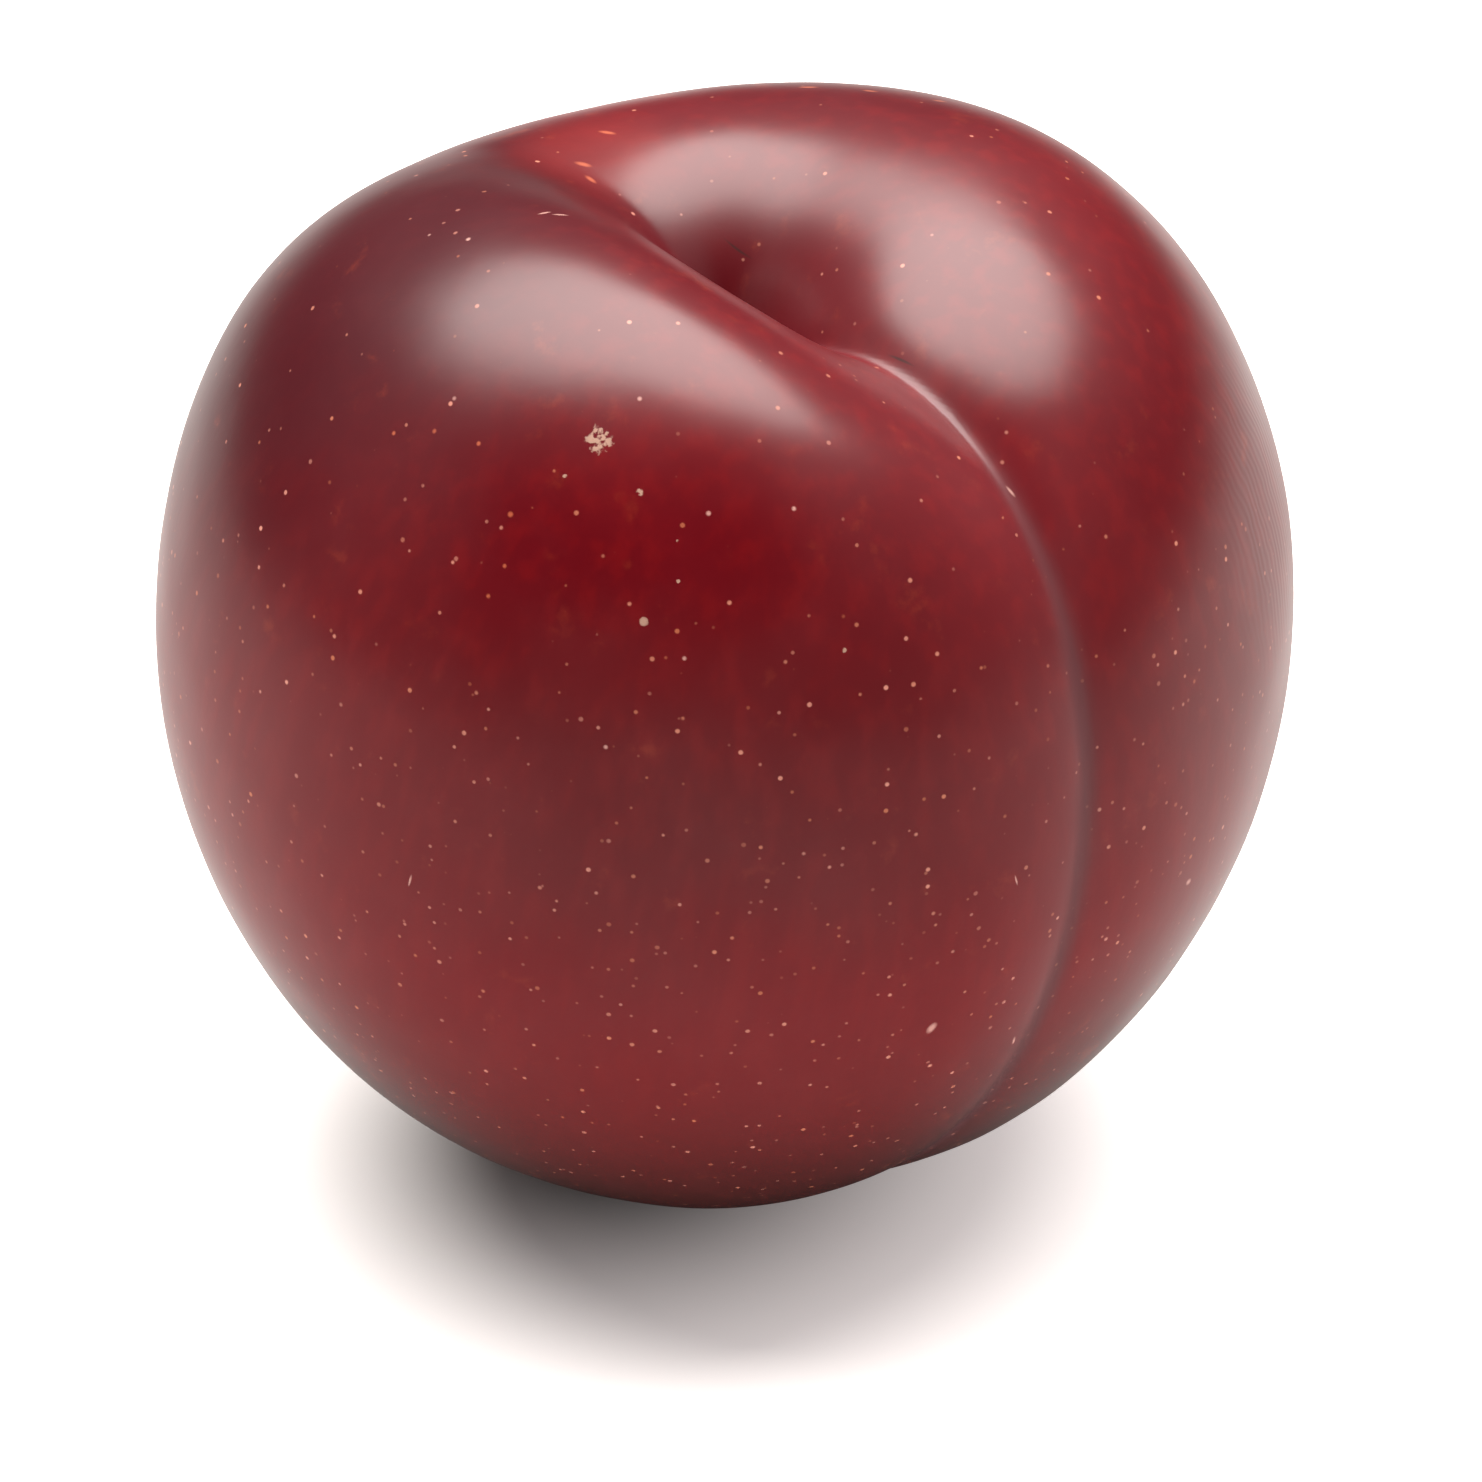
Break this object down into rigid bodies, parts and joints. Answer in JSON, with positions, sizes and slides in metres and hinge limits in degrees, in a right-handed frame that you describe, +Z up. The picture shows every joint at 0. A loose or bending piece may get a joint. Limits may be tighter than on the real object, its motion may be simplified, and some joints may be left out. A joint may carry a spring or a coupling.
{
  "type": "plum",
  "caption": "Whole ripe red plum with a deep stem hollow, a seam down one side and a small flat resting spot.",
  "frame": {"origin": "middle of the underside of the fruit's bounding box, at the level of the flat resting spot", "axes": "+Z up, stem hollow at the top; -Y towards the side with the larger cheek in front; the seam runs down the +X -Y side"},
  "size_m": [0.06, 0.056, 0.0597],
  "materials": {
    "plum_skin": "thin crimson fruit skin, soft gloss under a faint waxy bloom"
  },
  "bodies": {
    "root": {"plum": "plum_skin"}
  },
  "joints": []
}
